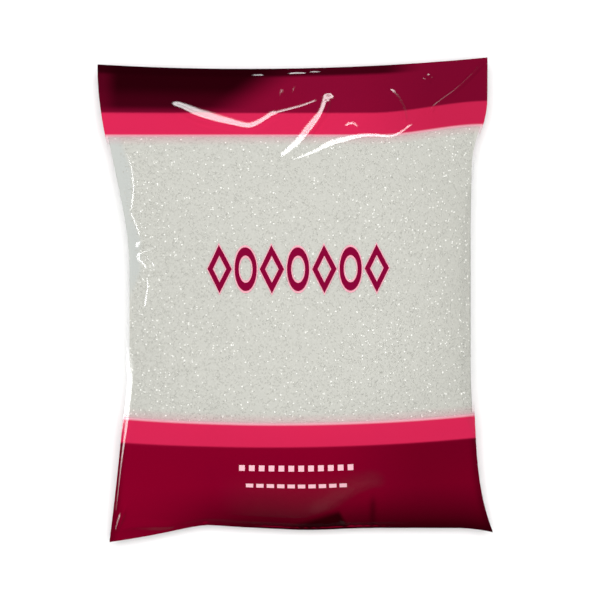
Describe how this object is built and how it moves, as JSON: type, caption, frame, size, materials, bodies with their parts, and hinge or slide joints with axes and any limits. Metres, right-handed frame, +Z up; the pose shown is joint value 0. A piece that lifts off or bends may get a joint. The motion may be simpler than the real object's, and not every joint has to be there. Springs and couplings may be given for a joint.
{
  "type": "sugar packet",
  "caption": "Pillow pack of clear film filled with granulated sugar, lying on its back, welded flat across both ends, with printed bands at the ends and a clear window between them.",
  "frame": {"origin": "centre of the overall box in X and Y, at the height of the surface that the pack rests on", "axes": "+X to the right of the printed front, +Y along the pack towards its top seal, +Z up, out of the front"},
  "size_m": [0.193, 0.2366, 0.0463],
  "materials": {
    "film": "clear glossy film close over white sugar, printed dark red and pink across both ends",
    "sugar": "fine white crystals, matt as a whole with sparkling faces"
  },
  "bodies": {
    "root": {"bag": "film"}
  },
  "joints": []
}
